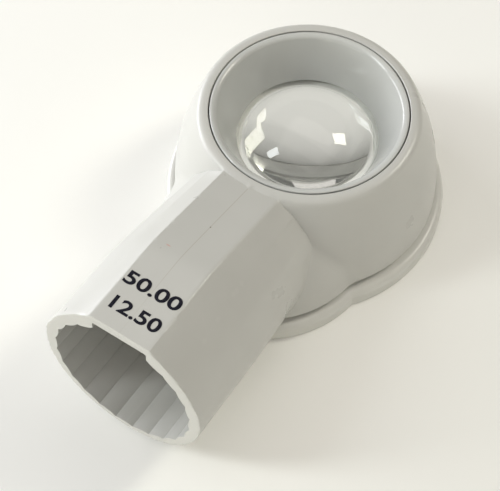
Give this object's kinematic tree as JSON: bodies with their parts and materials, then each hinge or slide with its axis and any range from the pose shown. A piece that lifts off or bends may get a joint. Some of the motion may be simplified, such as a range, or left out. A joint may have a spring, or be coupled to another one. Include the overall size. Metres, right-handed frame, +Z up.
{
  "type": "stand magnifier head",
  "caption": "Domed white head of an illuminated stand magnifier: strong lens in a funnel over a two-lobed base, with a fluted socket that slips on to a lit handle.",
  "frame": {"origin": "the point on the page plane under the lens axis, in the plane of the base's underside", "axes": "+Z up along the lens axis, -Y towards the socket's mouth and the handle, +X to the right seen from the lens towards the handle's far side"},
  "size_m": [0.061, 0.0984, 0.037],
  "materials": {
    "housing_plastic": "satin",
    "skirt_plastic": "satin",
    "funnel_plastic": "satin",
    "inner_plastic": "matte",
    "collar_plastic": "matte",
    "reflector_metal": "polished",
    "diffuser_acrylic": "matte",
    "lens_acrylic": "polished",
    "marking_ink": "matte"
  },
  "bodies": {
    "root": {"head_housing": "housing_plastic", "base_skirt": "skirt_plastic", "eyepiece_funnel": "funnel_plastic", "upper_lens": "lens_acrylic", "lens_spacer": "inner_plastic", "lower_lens": "lens_acrylic", "lens_cell": "inner_plastic", "cell_retaining_ring": "inner_plastic", "lamp_collar": "collar_plastic", "lamp_reflector": "reflector_metal", "light_diffuser": "diffuser_acrylic", "diffuser_bezel": "inner_plastic"}
  },
  "joints": []
}
